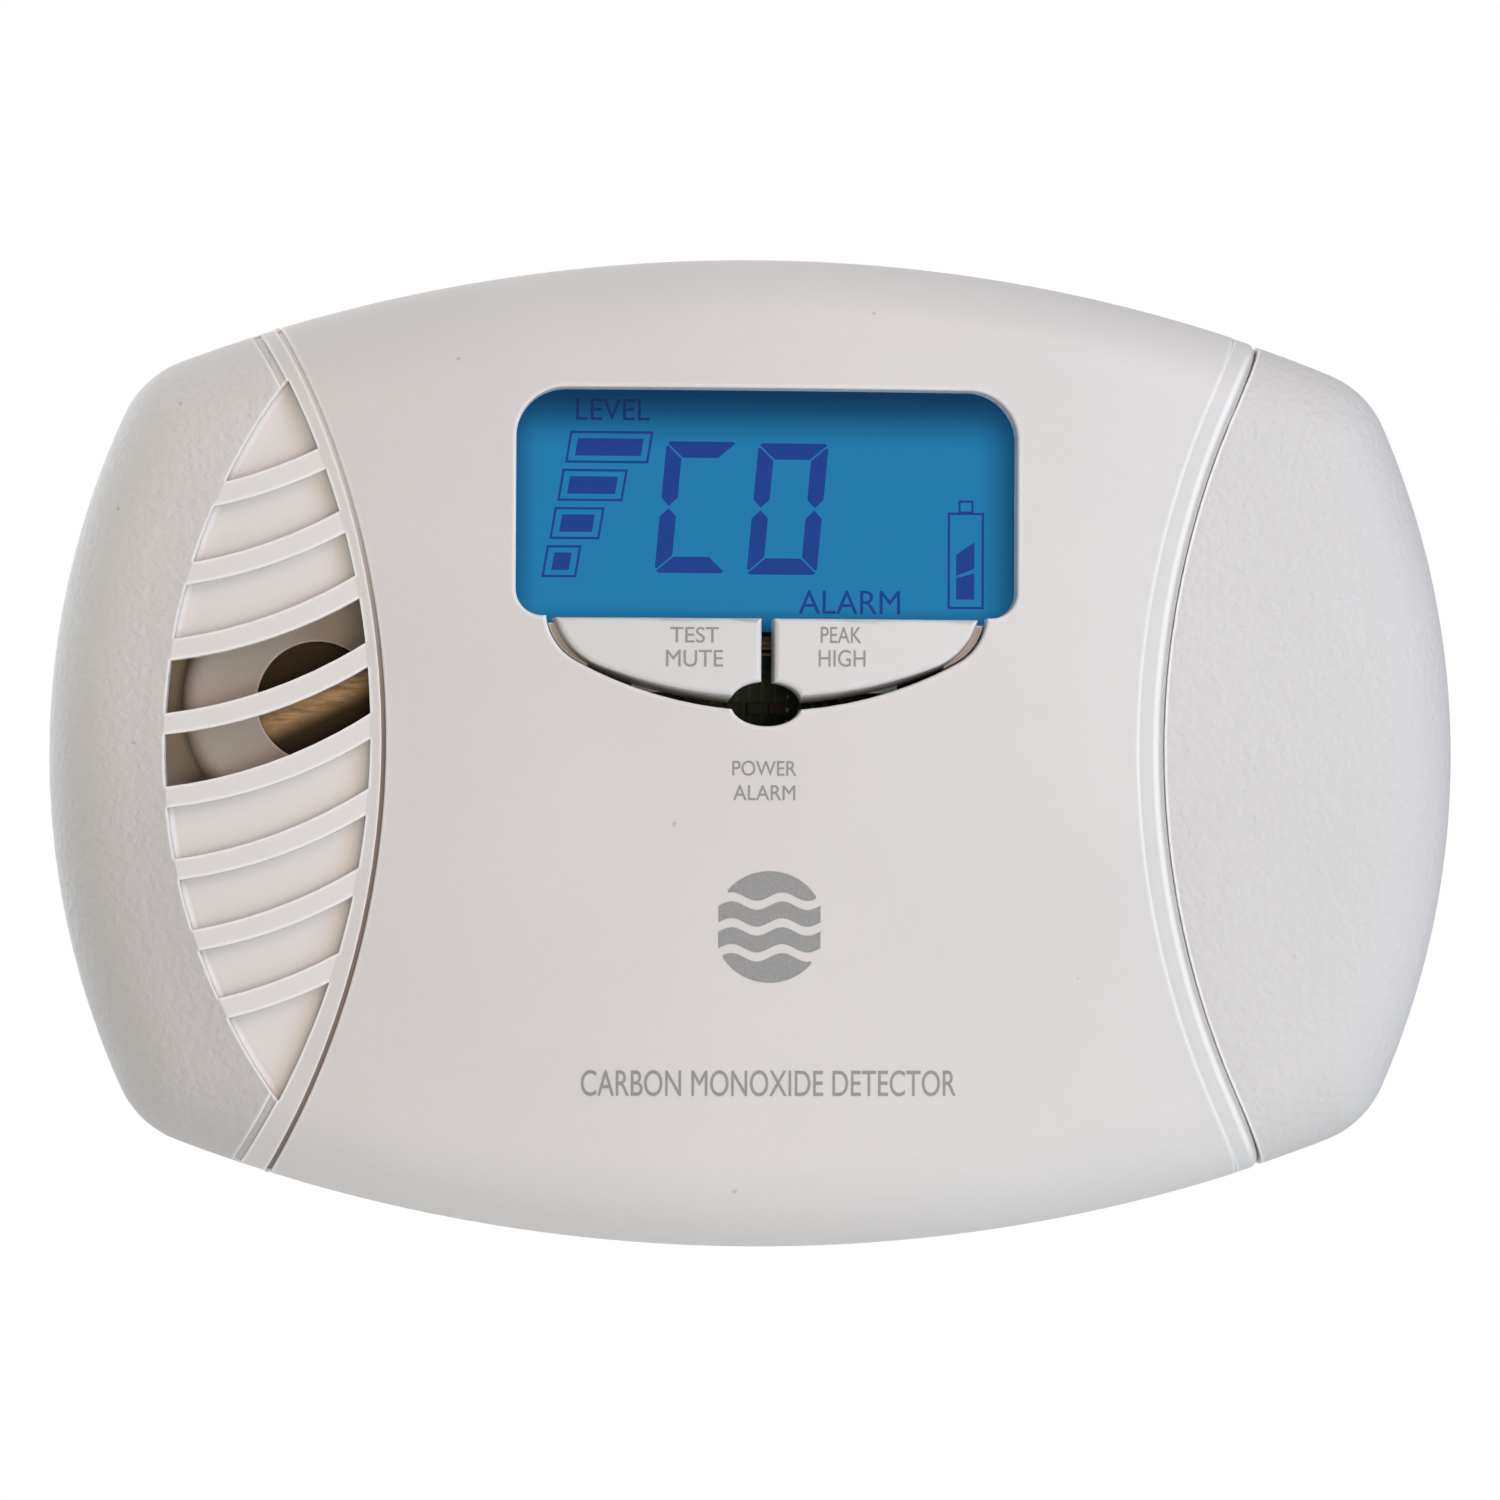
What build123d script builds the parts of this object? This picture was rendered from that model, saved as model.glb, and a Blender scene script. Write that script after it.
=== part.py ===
# Plug-in carbon monoxide alarm with a backlit display, two buttons, a piezo horn and battery backup.
# Millimetres. X runs to the right, Z up, and the front faces -Y. The origin is the centre of the flat
# back, on the wall. "Depth" is the distance from the wall towards the front: depth d lies at y = -d.
from build123d import *
import os
from math import sqrt

os.makedirs("parts", exist_ok=True)

# --- case ---
HALF_WIDTH = 70.1
HALF_HEIGHT = 48.6
LONG_ARC_R = 166.2        # top and bottom edges
END_ARC_R = 79.5          # left and right ends
CORNER_R = 10.0
CASE_DEPTH = 38.0         # at the middle of the front panel
PARTING = 17.0            # depth of the joint between cover and housing
PARTING_GAP = 0.15        # each side of the joint
COVER_WALL = 2.6
HOUSING_WALL = 2.2
LIP = (2.7, 3.8)          # how far inside the outline the locating lip starts and ends
LIP_RISE = 2.0            # beyond the joint
EDGE_ROUND = 9.0          # front edge
BACK_ROUND = 4.0          # back edge
CROWN_R = 330.0           # the front bows about a vertical axis
BAND_TOP = 37.7           # where the bow of the left wing and the right band would stand at X = 0
WING_TOP = 37.15           # the same for the right wing
BEYOND = 60.0             # a depth in front of everything
SNAP_SLITS = (-33.0, -25.1)
SNAP_SLIT = (0.25, 9.0, 8.5)  # half width, height and depth

# --- styling lines on the front ---
LINE_Z = 0.55             # height of the styling arcs' centres
LINE_X = 121.0            # their distance from the middle
GROOVE_R = (83.7, 84.12)  # the groove on the left of the panel
GROOVE_DEPTH = 0.4
GROOVE_END = 27.0         # depth where the cuts in the front run out on the edge
PANEL_ROUND = 0.25
BAND_R = (81.8, 84.45)    # the band on the right of the panel
BAND_ROUND = 1.05         # its outer edge, down to the right wing

# --- vents in the left wing: slots between eight curved bars ---
FIELD_LEFT = (0.45, 0.53, 58.76)        # the field of slots is the lens two discs share
FIELD_RIGHT = (-115.15, 1.38, 76.76)    # centre and radius
BAR_R = 46.8
BAR_X = -63.9             # centre of a bar's upper arc
BAR_Z = 71.35             # the same, for the first bar
BAR_SHIFT = (0.86, -1.95)  # from a bar's upper arc to its lower arc
BAR_PITCH = 7.15
BARS = 8
OPEN_SLOTS = (4, 5)       # counted from the top; the others are blind
SLOT_DEPTH = 1.35
SLOT_COVE = 0.45          # the rounded floor along the slots' outer ends
CREASE = (0.9, 0.15)      # inside the field's right arc, run on above and below the field
CREASE_DEPTH = 0.2
CREASE_FROM_Z = (-33.4, 35.2)

# --- window, buttons and lamp hole share one opening ---
WINDOW_HALF = 24.43
WINDOW_Z = (13.05, 35.2)
WINDOW_TOP_R = 4.8
WINDOW_LOW_R = 2.6
SMILE_HALF = 21.5         # half width of the button area
SMILE_R = 38.7            # its lower arc
SMILE_LOW = 3.9           # the arc's lowest point
SMILE_CORNER_R = 5.5
LAMP_X, LAMP_Z = -0.1, 4.5
LAMP_HALF = (3.45, 2.1)
OPENING_ROUND = 0.3
BUTTON_GAP = 0.3          # between a button's skirt and the opening, at the sides
BUTTON_R = 46.0           # the buttons' lower arc
BUTTON_LOW = 4.35
BUTTON_CORNER_R = 7.8
BUTTON_END = 17.4         # the shoulder and the flange lie beyond this X
SHOULDER_GAP = 0.15
SHOULDER_TOP_Z = 12.4
SHOULDER_DEPTH = 35.4
BUTTON_DRAFT = 7.0        # degrees, from the skirt to the face
BUTTON_SPLIT = 0.65       # half the gap between the two buttons
BUTTON_TOP = 12.85
BUTTON_PROUD = 0.5
BUTTON_ROUND = 0.5
BUTTON_SKIRT = 33.3       # depth where the button's full outline starts
FLANGE = (33.0, 34.1)
FLANGE_REACH = 1.0
FLANGE_TOP_Z = 10.9
STEM_X, STEM_Z = 11.0, 7.4
STEM_END = 29.0
STEM_HALF = (2.0, 1.6)
SWITCH_HALF = 3.1
SWITCH_TOP = 24.7
SWITCH_BELOW = 1.2        # the switch's middle lies this far under its plunger
PLUNGER_R = 1.7
PLUNGER_FROM = 23.2

# --- circuit board and display ---
BOARD = (19.5, 21.1)
BOARD_INSET = 6.0
SEAT = BOARD[1] + 0.05    # where parts stand on the board's front
UNDER = BOARD[0] - 0.05   # where parts hang on the board's back
GLASS_HALF = 27.0
GLASS_Z = (11.6, 37.6)
LEDGE_Z = 39.4            # the rear glass reaches higher, to carry the contacts
GLASS = 0.8
FILM = 0.2
DISPLAY_FACE = 32.3       # depth of the display's front film
FRONT_GLASS = DISPLAY_FACE - FILM - GLASS
REAR_GLASS = FRONT_GLASS - GLASS
GUIDE = (26.6, 30.4)
HOLDER_WALL = 1.2
HOLDER_TOP = 31.1
CONTACT_PITCH, CONTACTS = 2.0, 24

# --- fasteners ---
CASE_SCREWS = [(x, z) for x in (-52.0, 52.0) for z in (-32.0, 32.0)]
BOARD_SCREWS = [(x, z) for x in (-38.0, 38.0) for z in (-33.0, 33.0)]
CASE_BOSS_R = 3.6
CASE_SEAT = 9.0           # depth of the screw heads' seats in the housing
CASE_HEAD = (2.7, 2.2)    # radius and height
CASE_SHANK_R = 1.4
POST_R = 3.0
BOARD_HEAD = (2.6, 1.7)
BOARD_SHANK_R = 1.35

# --- horn and gas cell ---
HORN_X, HORN_Z = -43.63, 4.76
HORN_PLATE_X, HORN_PLATE_Z = (-61.0, -31.0), (-13.4, 19.5)
HORN_PLATE = 4.85
HORN_R = 13.2
HORN_WALL = 1.2
HORN_TOP = 29.5
HORN_MOUTH_R = 5.9
DISC_R = 10.6
DISC = (24.6, 25.0)
CELL_X, CELL_Z = -44.0, -22.0
GAS_CELL_R = 7.4

# --- batteries ---
CELL_R = 7.25
CELL_BODY = 49.2
NUB_R, NUB = 2.75, 1.3
CELL_DEPTH = 9.9
CELL_ROWS = (-16.0, -31.2)
BAY_HALF = 30.0
BAY_Z = (-38.8, -8.4)
BAY_TOP = 17.6
BAY_WALL = 1.2
DOOR = 1.8
DOOR_HALF = 31.0
DOOR_AXIS_Z = -7.4
DOOR_LOW_Z = -41.0
DOOR_GAP = 0.35
HINGE_PIN_R, HINGE_PIN = 0.7, 1.3
GRIP_RIBS = (-10.5, -9.0, -7.5, 7.5, 9.0, 10.5)
LABEL_X, LABEL_Z = (-24.0, 24.0), (12.0, 32.0)
LABEL_RECESS = 0.25
LEAD_R = 0.6
LEAD_DEPTH = 8.0
SPRING_WIRE_R = 0.35
SPRING_R = 3.4
CELL_SHIFT = 3.0          # each cell sits this far towards its nub

# --- plug ---
BLADE_X = 6.35            # half the blade spacing
BLADE = (1.52, 6.35)      # thickness and width
BLADE_OUT = 16.5
BLADE_IN = 12.0
BLADE_HOLE_R = 1.6
BLADE_HOLE = 11.7
CARRIER_HALF = (10.6, 5.3)
CARRIER_TOP = 7.5
CARRIER_WALL = 1.6
MAINS_R = 0.8

# --- parts on the circuit board ---
CONTROLLER = (44.0, -10.0)
AMPLIFIER = (-16.0, -24.0)
LINE_CAPACITOR_X, LINE_CAPACITOR_Z = (-32.0, -14.0), (14.0, 23.0)
SMOOTHING = [(22.0, 17.0, 5.0, 14.5), (36.0, 12.0, 4.0, 12.5)]  # place, radius and height
COIL_X, COIL_Z = 45.0, 8.0
COIL_CORE_R, COIL_R, COIL_FLANGE_R = 2.4, 4.6, 5.0
COIL_WOUND = (22.6, 29.4)
COIL_TOP = 31.0
CHIP_ROWS = [(34.0, 22.0), (34.0, 18.5), (47.0, 22.0), (36.0, -20.0), (-20.0, -12.0), (8.0, -14.0)]


# ---------------------------------------------------------------- helpers
def prism(face, near, far):
    """The solid between two depths whose outline is drawn in X and Z."""
    return extrude(Plane.XZ.offset(near) * face, far - near, dir=(0, -1, 0))


def drafted(face, near, far, angle):
    """The same with walls that lean inwards."""
    return extrude(Plane.XZ.offset(near) * face, far - near, dir=(0, -1, 0), taper=angle)


def disc(x, z, radius, near, far):
    return prism(Pos(x, z) * Circle(radius), near, far)


def ring(x, z, outer, inner, near, far):
    return prism(Pos(x, z) * (Circle(outer) - Circle(inner)), near, far)


def block(x, z, near, far):
    """A box from (low, high) pairs in X and Z, between two depths."""
    middle = Pos((x[0] + x[1]) / 2, (z[0] + z[1]) / 2)
    return prism(middle * Rectangle(x[1] - x[0], z[1] - z[0]), near, far)


def about(x, half):
    return (x - half, x + half)


def point(x, z, depth):
    return Vector(x, -depth, z)


def wire(radius, points, bends):
    """A round wire along straight runs joined by arcs."""
    path = FilletPolyline(*points, radius=bends)
    return sweep(Plane(path @ 0, z_dir=path % 0) * Circle(radius), path=path)


def save(name, shape):
    shape.label = name
    export_step(shape, f"parts/{name}.step")


# ---------------------------------------------------------------- case surfaces
def outline(inset=0.0):
    """The case's front outline: four discs' common area with rounded corners."""
    long_z = LONG_ARC_R - HALF_HEIGHT
    end_x = END_ARC_R - HALF_WIDTH
    face = Pos(0, -long_z) * Circle(LONG_ARC_R - inset)
    face &= Pos(0, long_z) * Circle(LONG_ARC_R - inset)
    face &= Pos(end_x, 0) * Circle(END_ARC_R - inset)
    face &= Pos(-end_x, 0) * Circle(END_ARC_R - inset)
    return fillet(face.vertices(), CORNER_R - inset)


def envelope(top, inset=0.0):
    """A filled case with a bowed front, drawn inside the outer surface by inset."""
    blank = prism(outline(inset), 0, BEYOND)
    bow = Pos(0, CROWN_R - top, 0) * Cylinder(CROWN_R - inset, 3 * HALF_HEIGHT)
    blank &= bow
    front = blank.faces().sort_by(Axis.Y)[0]
    return fillet(front.edges(), EDGE_ROUND - inset)


def side_arc(side, radius):
    """The disc whose edge is one of the styling arcs, on the left (-1) or the right (1)."""
    return Pos(side * LINE_X, LINE_Z) * Circle(radius)


def opening(grow=0.0):
    """Window, button area and lamp hole as one face."""
    low, high = WINDOW_Z
    window = Pos(0, (low + high) / 2) * Rectangle(2 * (WINDOW_HALF + grow), high - low + 2 * grow)
    corners = window.vertices().group_by(Axis.Y)
    window = fillet(corners[1], WINDOW_TOP_R)
    window = fillet(window.vertices().group_by(Axis.Y)[0], WINDOW_LOW_R)
    lamp = Pos(LAMP_X, LAMP_Z) * Ellipse(LAMP_HALF[0] + grow, LAMP_HALF[1] + grow)
    return window + smile(-grow, low + 1) + lamp


def smile(inset, top, low=SMILE_LOW, arc_r=SMILE_R, corner_r=SMILE_CORNER_R):
    """The button area below a given height."""
    half = SMILE_HALF - inset
    face = Pos(0, low + arc_r) * Circle(arc_r - inset)
    face &= Rectangle(2 * half, 2 * WINDOW_Z[1])
    face = fillet(face.vertices().group_by(Axis.Y)[0], corner_r - inset)
    return face & Rectangle(4 * half, 2 * top)


# ---------------------------------------------------------------- front cover
def field_disc(place):
    x, z, radius = place
    return Pos(x, z) * Circle(radius)


def vent_field():
    """The lens-shaped field that holds all slots."""
    return field_disc(FIELD_LEFT) & field_disc(FIELD_RIGHT)


def slots():
    """The vent slots from the top down, each a face."""
    field = vent_field()
    upper = [Pos(BAR_X, BAR_Z - i * BAR_PITCH) * Circle(BAR_R) for i in range(BARS)]
    lower = [Pos(*BAR_SHIFT) * arc for arc in upper]
    faces = [field & upper[0]]
    faces += [(field & upper[i]) - lower[i - 1] for i in range(1, BARS)]
    return faces + [field - lower[-1]]


def blind_space():
    """What blind slots would cut away if no bars stood between them."""
    space = prism(vent_field(), GROOVE_END, BEYOND) - envelope(BAND_TOP, SLOT_DEPTH)
    outer = FIELD_LEFT[0] - FIELD_LEFT[2]
    deep = [e for e in space.edges() if e.center().X < outer + 2 and e.center().Y > -BAND_TOP]
    return fillet(deep, SLOT_COVE)


def creases():
    """The shallow lines that run on from both ends of the vent field to the case's edge."""
    x, z, radius = FIELD_RIGHT
    line = Circle(radius - CREASE[1]) - Circle(radius - CREASE[0])
    low, high = CREASE_FROM_Z
    between = Pos(x, (low + high) / 2) * Rectangle(4 * HALF_WIDTH, high - low)
    left_half = Pos(x, z) * Rectangle(2 * radius, 4 * radius, align=(Align.MAX, Align.CENTER))
    return Pos(x, z) * line - between - left_half


def panel():
    """The middle panel, standing proud of the left wing and the right band."""
    sides = side_arc(-1, GROOVE_R[1]) + side_arc(1, BAND_R[1])
    body = envelope(CASE_DEPTH) - prism(sides, -1, BEYOND + 1)
    crest = [e for e in body.edges() if e.length > 20 and abs(e.center().X) > 30]
    crest = [e for e in crest if e.center().Y < -GROOVE_END - 5]
    return fillet(crest, PANEL_ROUND)


def right_band():
    """The band beside the panel, rolled over towards the right wing."""
    strip = side_arc(1, BAND_R[1]) - side_arc(1, BAND_R[0])
    body = prism(strip, -1, BEYOND + 1) & envelope(BAND_TOP)
    crest = [e for e in body.edges() if e.length > 20 and e.center().X > LINE_X - BAND_R[0] - 1]
    crest = [e for e in crest if e.center().Y < -GROOVE_END - 5]
    return fillet(crest, BAND_ROUND)


def groove_floor():
    """What is left under the groove on the panel's left."""
    strip = side_arc(-1, GROOVE_R[1]) - side_arc(-1, GROOVE_R[0])
    floor = envelope(CASE_DEPTH, GROOVE_DEPTH) + prism(outline(), 0, GROOVE_END)
    return prism(strip, -1, BEYOND + 1) & floor


def filled_cover():
    """The case before it is hollowed: left wing, panel, right band and right wing, each at its level."""
    left_wing = envelope(BAND_TOP) & prism(side_arc(-1, GROOVE_R[0]), -1, BEYOND + 1)
    right_wing = envelope(WING_TOP) & prism(side_arc(1, BAND_R[0]), -1, BEYOND + 1)
    return panel() + groove_floor() + left_wing + right_band() + right_wing


def panel_depth(x):
    """The depth of the middle panel's surface at a given X."""
    return CASE_DEPTH - CROWN_R + sqrt(CROWN_R ** 2 - x ** 2)


def front_cover():
    cover = filled_cover() - envelope(BAND_TOP, COVER_WALL)
    cover -= prism(Rectangle(4 * HALF_WIDTH, 4 * HALF_HEIGHT), -1, PARTING + PARTING_GAP)
    # vents
    blind = blind_space()
    for number, face in enumerate(slots(), start=1):
        tool = prism(face, GROOVE_END, BEYOND)
        cover -= tool if number in OPEN_SLOTS else tool & blind
    cover -= prism(creases(), GROOVE_END, BEYOND) - envelope(BAND_TOP, CREASE_DEPTH)
    # bosses for the case screws
    within = envelope(BAND_TOP, COVER_WALL - 0.6)
    for x, z in CASE_SCREWS:
        cover += disc(x, z, CASE_BOSS_R - 0.2, PARTING + PARTING_GAP, BEYOND) & within
        cover -= disc(x, z, CASE_SHANK_R + 0.1, PARTING - 1, PARTING + 13)
    # the opening and its rounded rim
    cover -= prism(opening(), PARTING, BEYOND)
    rim = [e for e in cover.edges() if on_opening_rim(e)]
    cover = fillet(rim, OPENING_ROUND)
    # slits either side of the snap finger in the lower edge
    half, high, deep = SNAP_SLIT
    for x in SNAP_SLITS:
        cover -= block(about(x, half), (-HALF_HEIGHT, -HALF_HEIGHT + high), PARTING, PARTING + deep)
    return cover


def on_opening_rim(edge):
    """True for the edges where the opening meets the bowed front."""
    middle = edge @ 0.5
    inside = abs(middle.X) < WINDOW_HALF + 0.5 and SMILE_LOW - 3 < middle.Z < WINDOW_Z[1] + 0.5
    return inside and abs(-middle.Y - panel_depth(middle.X)) < 0.02


# ---------------------------------------------------------------- rear housing
def rear_housing():
    shell = prism(outline(), 0, PARTING - PARTING_GAP)
    shell = fillet(shell.faces().sort_by(Axis.Y)[-1].edges(), BACK_ROUND)
    shell -= prism(outline(HOUSING_WALL), HOUSING_WALL, BEYOND)
    # a shoulder inside the wall carries the lip that the cover locates on
    shoulder = outline(HOUSING_WALL - 0.5) - outline(LIP[1])
    shell += prism(shoulder, PARTING - 3, PARTING - PARTING_GAP)
    shell += prism(outline(LIP[0]) - outline(LIP[1]), PARTING - 1, PARTING + LIP_RISE)
    # battery bay: a box open to the back
    outer_x, outer_z = about(0, BAY_HALF + BAY_WALL), (BAY_Z[0] - BAY_WALL, BAY_Z[1] + BAY_WALL)
    shell += block(outer_x, outer_z, HOUSING_WALL / 2, BAY_TOP + BAY_WALL)
    shell += block(about(0, BAY_HALF + 3), (BAY_Z[1], DOOR_AXIS_Z + 1.8), HOUSING_WALL / 2, 3.6)
    shell -= block(about(0, BAY_HALF), BAY_Z, -1, BAY_TOP)
    # posts and bosses
    for x, z in BOARD_SCREWS:
        shell += disc(x, z, POST_R, HOUSING_WALL / 2, UNDER)
        shell -= disc(x, z, BOARD_SHANK_R + 0.15, UNDER - 11, UNDER + 1)
    for x, z in CASE_SCREWS:
        shell += disc(x, z, CASE_BOSS_R, HOUSING_WALL / 2, PARTING - PARTING_GAP)
        shell -= disc(x, z, CASE_HEAD[0] + 0.3, -1, CASE_SEAT)
        shell -= disc(x, z, CASE_SHANK_R + 0.3, 0, PARTING + 1)
    # walls that hold the blade carrier, and the two blade slots
    inner = Rectangle(2 * CARRIER_HALF[0] + 0.2, 2 * CARRIER_HALF[1] + 0.2)
    outer = Rectangle(2 * (CARRIER_HALF[0] + CARRIER_WALL), 2 * (CARRIER_HALF[1] + CARRIER_WALL))
    shell += prism(outer - inner, HOUSING_WALL / 2, CARRIER_TOP - 1)
    for side in (-1, 1):
        shell -= block(about(side * BLADE_X, 0.9), about(0, 3.3), -1, HOUSING_WALL + 1)
    shell -= door_seat()
    # holes for the battery leads in the bay's left wall
    for z in CELL_ROWS:
        hole = Rot(0, 90, 0) * Cylinder(LEAD_R + 0.15, 2 * BAY_WALL)
        shell -= Pos(-BAY_HALF - BAY_WALL / 2, -LEAD_DEPTH, z) * hole
    shell -= block(LABEL_X, LABEL_Z, -1, LABEL_RECESS)
    return shell


def door_seat():
    """What the battery door's rebate, hinge notches, latch pocket and finger scoop cut away."""
    reach = DOOR_HALF + DOOR_GAP
    top = DOOR_AXIS_Z + DOOR / 2 + DOOR_GAP
    seat = block(about(0, reach), (DOOR_LOW_Z - DOOR_GAP, top), -1, DOOR + 0.1)
    for side in (-1, 1):
        notch = about(side * (reach + HINGE_PIN / 2), HINGE_PIN / 2 + 0.1)
        slot = HINGE_PIN_R + 0.08
        seat += block(notch, about(DOOR_AXIS_Z, slot), -1, DOOR / 2)
        pin = Pos((notch[0] + notch[1]) / 2, -DOOR / 2, DOOR_AXIS_Z) * Rot(0, 90, 0)
        seat += pin * Cylinder(slot, notch[1] - notch[0])
    seat += block(about(0, 4.2), (DOOR_LOW_Z - DOOR_GAP - 0.5, DOOR_LOW_Z), 0.5, 1.5)
    scoop = Pos(0, 0, DOOR_LOW_Z - 1.0) * Rot(0, 90, 0) * Cylinder(3.2, 13.0)
    seat += Pos(0, 1.6, 0) * scoop
    return seat


def battery_door():
    """A plate with a rounded hinge edge, two pin stubs, a latch nose and stiffening ribs."""
    plate = block(about(0, DOOR_HALF), (DOOR_LOW_Z, DOOR_AXIS_Z), 0, DOOR)
    knuckle = Rot(0, 90, 0) * Cylinder(DOOR / 2, 2 * DOOR_HALF)
    pins = Rot(0, 90, 0) * Cylinder(HINGE_PIN_R, 2 * (DOOR_HALF + DOOR_GAP + HINGE_PIN) - 0.2)
    place = Pos(0, -DOOR / 2, DOOR_AXIS_Z)
    door = plate + place * knuckle + place * pins
    door += block(about(0, 4.0), (DOOR_LOW_Z - DOOR_GAP + 0.1, DOOR_LOW_Z + 0.5), 0.7, 1.3)
    for x in GRIP_RIBS:
        door -= block(about(x, 0.35), (DOOR_LOW_Z + 2.0, DOOR_LOW_Z + 7.0), -1, 0.5)
    ribs = [block(about(x, 0.5), (-29.0, -18.0), DOOR - 0.5, DOOR + 0.7) for x in (-20.0, 0.0, 20.0)]
    for rib in ribs:
        door += rib
    return door


def rating_label():
    return block((LABEL_X[0] + 0.3, LABEL_X[1] - 0.3), (LABEL_Z[0] + 0.3, LABEL_Z[1] - 0.3), 0.1, 0.25)


# ---------------------------------------------------------------- buttons
def button(side):
    """One half of the button pair: face, shoulder, retaining flange and stem. side is -1 or 1."""
    half = Pos(side * (BUTTON_SPLIT + HALF_WIDTH / 2), 0) * Rectangle(HALF_WIDTH, 2 * BUTTON_TOP)
    lamp = Pos(LAMP_X, LAMP_Z) * Ellipse(LAMP_HALF[0] + 0.15, LAMP_HALF[1] + 0.15)
    skirt = smile(BUTTON_GAP, 2 * BUTTON_TOP, BUTTON_LOW, BUTTON_R, BUTTON_CORNER_R)
    cap = drafted(skirt, BUTTON_SKIRT, CASE_DEPTH + 2, BUTTON_DRAFT)
    cap &= prism(half - lamp, 0, BEYOND)
    cap &= Pos(0, CROWN_R - CASE_DEPTH - BUTTON_PROUD, 0) * Cylinder(CROWN_R, 3 * HALF_HEIGHT)
    front = cap.faces().sort_by(Axis.Y)[0]
    cap = fillet(front.edges(), BUTTON_ROUND)
    end = Pos(side * (BUTTON_END + HALF_WIDTH / 2), 0) * Rectangle(HALF_WIDTH, 2 * HALF_HEIGHT)
    shoulder = prism(smile(SHOULDER_GAP, SHOULDER_TOP_Z) & end, BUTTON_SKIRT, SHOULDER_DEPTH)
    flange = prism(smile(-FLANGE_REACH, FLANGE_TOP_Z) & end, *FLANGE)
    half_x, half_z = STEM_HALF
    stem = block(about(side * STEM_X, half_x), about(STEM_Z, half_z), STEM_END, FLANGE[0] + 0.5)
    return cap + shoulder + flange + stem


def switch_body(side):
    """A square tactile switch with a round hole for its plunger."""
    x = side * STEM_X
    body = block(about(x, SWITCH_HALF), about(STEM_Z - SWITCH_BELOW, SWITCH_HALF), SEAT, SWITCH_TOP)
    return body - disc(x, STEM_Z, PLUNGER_R + 0.1, PLUNGER_FROM - 1, STEM_END)


def switch_plunger(side):
    return disc(side * STEM_X, STEM_Z, PLUNGER_R, PLUNGER_FROM, STEM_END)


# ---------------------------------------------------------------- display
def holder():
    """The white frame that stands on the board and holds the light guide and both glasses."""
    x, z = GLASS_HALF + 0.2, (GLASS_Z[0] - 0.2, LEDGE_Z + 0.2)
    wall = HOLDER_WALL
    frame = block(about(0, x + wall), (z[0] - wall, z[1] + wall), SEAT, HOLDER_TOP)
    frame -= block(about(0, x), z, GUIDE[0] - 0.1, BEYOND)
    frame -= block(about(0, x - 3), (z[0] + 3, z[1] - 5), -1, BEYOND)
    frame -= block(about(0, x - 1.2), (z[1] - 2.8, z[1] - 0.6), -1, BEYOND)
    return frame


def contacts():
    """The row of pins from the rear glass's ledge down to the board."""
    start = -CONTACT_PITCH * (CONTACTS - 1) / 2
    z = LEDGE_Z - 1.4
    row = []
    for i in range(CONTACTS):
        x = start + i * CONTACT_PITCH
        row.append(block(about(x, 0.25), about(z, 0.2), SEAT, GUIDE[1] - 0.05))
    return Compound(children=row)


# ---------------------------------------------------------------- horn and gas cell
def horn_cap():
    """The resonator over the disc: a cup with a round mouth."""
    foot = SEAT + HORN_PLATE + 0.05
    cup = disc(HORN_X, HORN_Z, HORN_R, foot, HORN_TOP)
    cup = fillet(cup.faces().sort_by(Axis.Y)[0].edges(), 1.8)
    cup -= disc(HORN_X, HORN_Z, HORN_R - HORN_WALL, foot - 1, HORN_TOP - HORN_WALL)
    return cup - disc(HORN_X, HORN_Z, HORN_MOUTH_R, 20, BEYOND)


def horn_base():
    """The plate the horn stands on and the stepped seat for its disc."""
    base = block(HORN_PLATE_X, HORN_PLATE_Z, SEAT, SEAT + HORN_PLATE)
    base += disc(HORN_X, HORN_Z, HORN_R - HORN_WALL - 0.1, SEAT, DISC[0] + 0.8)
    base -= disc(HORN_X, HORN_Z, DISC_R + 0.1, DISC[0] - 0.02, BEYOND)
    return base - disc(HORN_X, HORN_Z, DISC_R - 1.4, SEAT + 0.8, BEYOND)


def gas_cell_can():
    can = disc(CELL_X, CELL_Z, GAS_CELL_R, SEAT + 0.6, 27.4)
    return fillet(can.faces().sort_by(Axis.Y)[-1].edges(), 0.8)


def gas_cell_cap():
    cap = disc(CELL_X, CELL_Z, GAS_CELL_R - 0.3, 27.45, 30.0)
    cap = fillet(cap.faces().sort_by(Axis.Y)[0].edges(), 0.6)
    return cap - disc(CELL_X, CELL_Z, 1.2, 28.5, BEYOND)


# ---------------------------------------------------------------- batteries
def cell(row, sign):
    """A round cell lying along X with its positive nub towards sign."""
    body = Cylinder(CELL_R, CELL_BODY)
    body = fillet(body.edges().filter_by(GeomType.CIRCLE), 0.6)
    nub = Pos(0, 0, CELL_BODY / 2 + NUB / 2) * Cylinder(NUB_R, NUB)
    shifted = Pos(sign * CELL_SHIFT, -CELL_DEPTH, CELL_ROWS[row])
    return shifted * Rot(0, sign * 90, 0) * (body + nub)


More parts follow.
